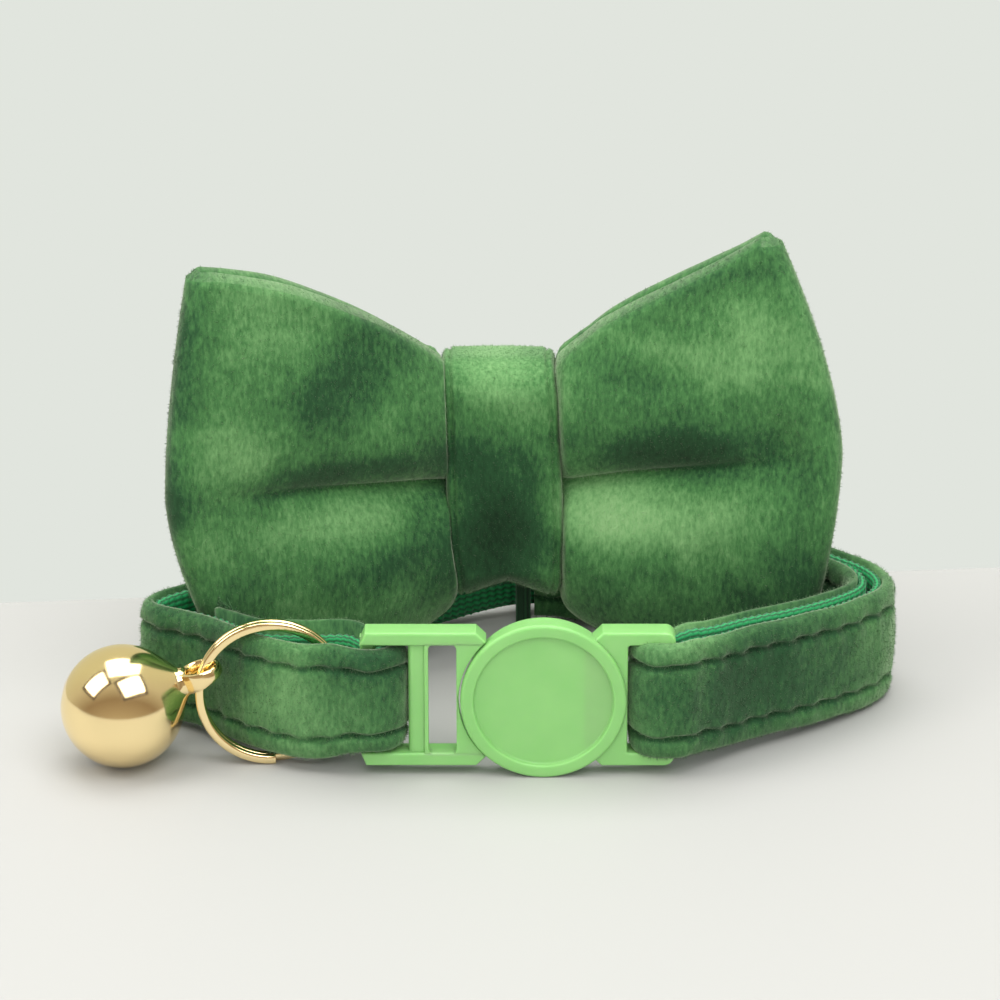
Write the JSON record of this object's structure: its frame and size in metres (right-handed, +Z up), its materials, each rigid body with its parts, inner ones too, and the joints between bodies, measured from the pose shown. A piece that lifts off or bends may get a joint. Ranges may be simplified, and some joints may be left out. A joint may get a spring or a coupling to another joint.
{
  "type": "pet bow tie collar",
  "caption": "Velvet cat collar standing on its edge, with a round breakaway buckle, a split ring with a jingle bell, and a wide velvet bow tie on its back.",
  "frame": {"origin": "middle of the bottom of the whole collar's box, on the table it stands on", "axes": "+X to the right along the buckle as seen from its front, +Y to the back where the bow hangs, +Z up"},
  "size_m": [0.0848, 0.047, 0.0485],
  "materials": {
    "velvet": "short green velvet pile",
    "webbing": "ribbed green nylon webbing",
    "buckle_plastic": "smooth pale green moulded plastic, slightly translucent",
    "gold_plate": "polished light gold plating",
    "pellet_steel": "plain steel ball",
    "elastic": "narrow dark green elastic"
  },
  "bodies": {
    "root": {"strap_velvet": "velvet", "strap_webbing": "webbing", "buckle_male": "buckle_plastic", "buckle_female": "buckle_plastic", "split_ring": "gold_plate", "bell": "gold_plate", "bell_pellet": "pellet_steel", "bow_body": "velvet", "bow_knot": "velvet", "bow_elastic": "elastic"}
  },
  "joints": []
}
